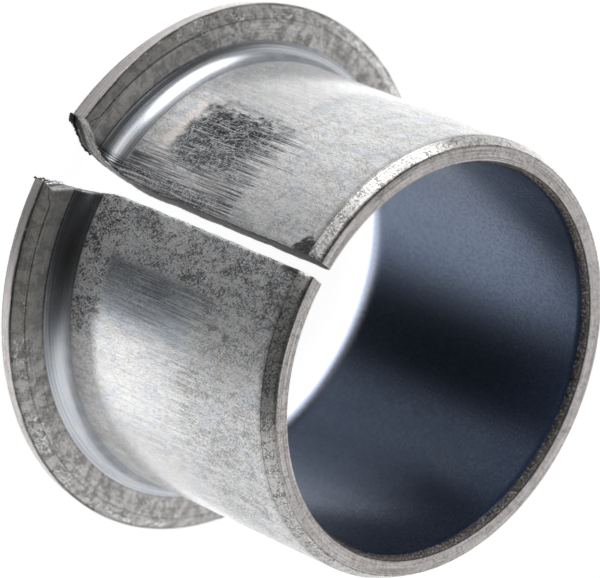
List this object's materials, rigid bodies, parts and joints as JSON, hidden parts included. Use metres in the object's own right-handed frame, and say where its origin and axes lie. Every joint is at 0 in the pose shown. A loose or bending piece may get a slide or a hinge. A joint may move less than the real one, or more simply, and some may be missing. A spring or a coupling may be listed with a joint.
{
  "type": "flanged wrapped bush",
  "caption": "Flanged plain bearing wrapped from layered strip, open along a narrow butt gap; carries a shaft in its bore and thrust on its flange.",
  "frame": {"origin": "on the bore's axis, in the plane of the flange's outer face, so the part stands on its flange", "axes": "+Z along the bore from the flange to the free end; the butt gap faces -Y; +X completes the right-handed frame"},
  "size_m": [0.0424, 0.0422, 0.026],
  "materials": {
    "steel": "bare sheared and rolled strip edge, dark",
    "sintered_bronze": "porous, sintered, dark brown",
    "sliding_polymer": "satin, finely mottled, dark blue-grey",
    "tin": "satin plating, mottled, scratched and worn dark in patches"
  },
  "bodies": {
    "root": {"steel_backing": "steel", "bronze_interlayer": "sintered_bronze", "sliding_layer": "sliding_polymer", "tin_plating": "tin"}
  },
  "joints": []
}
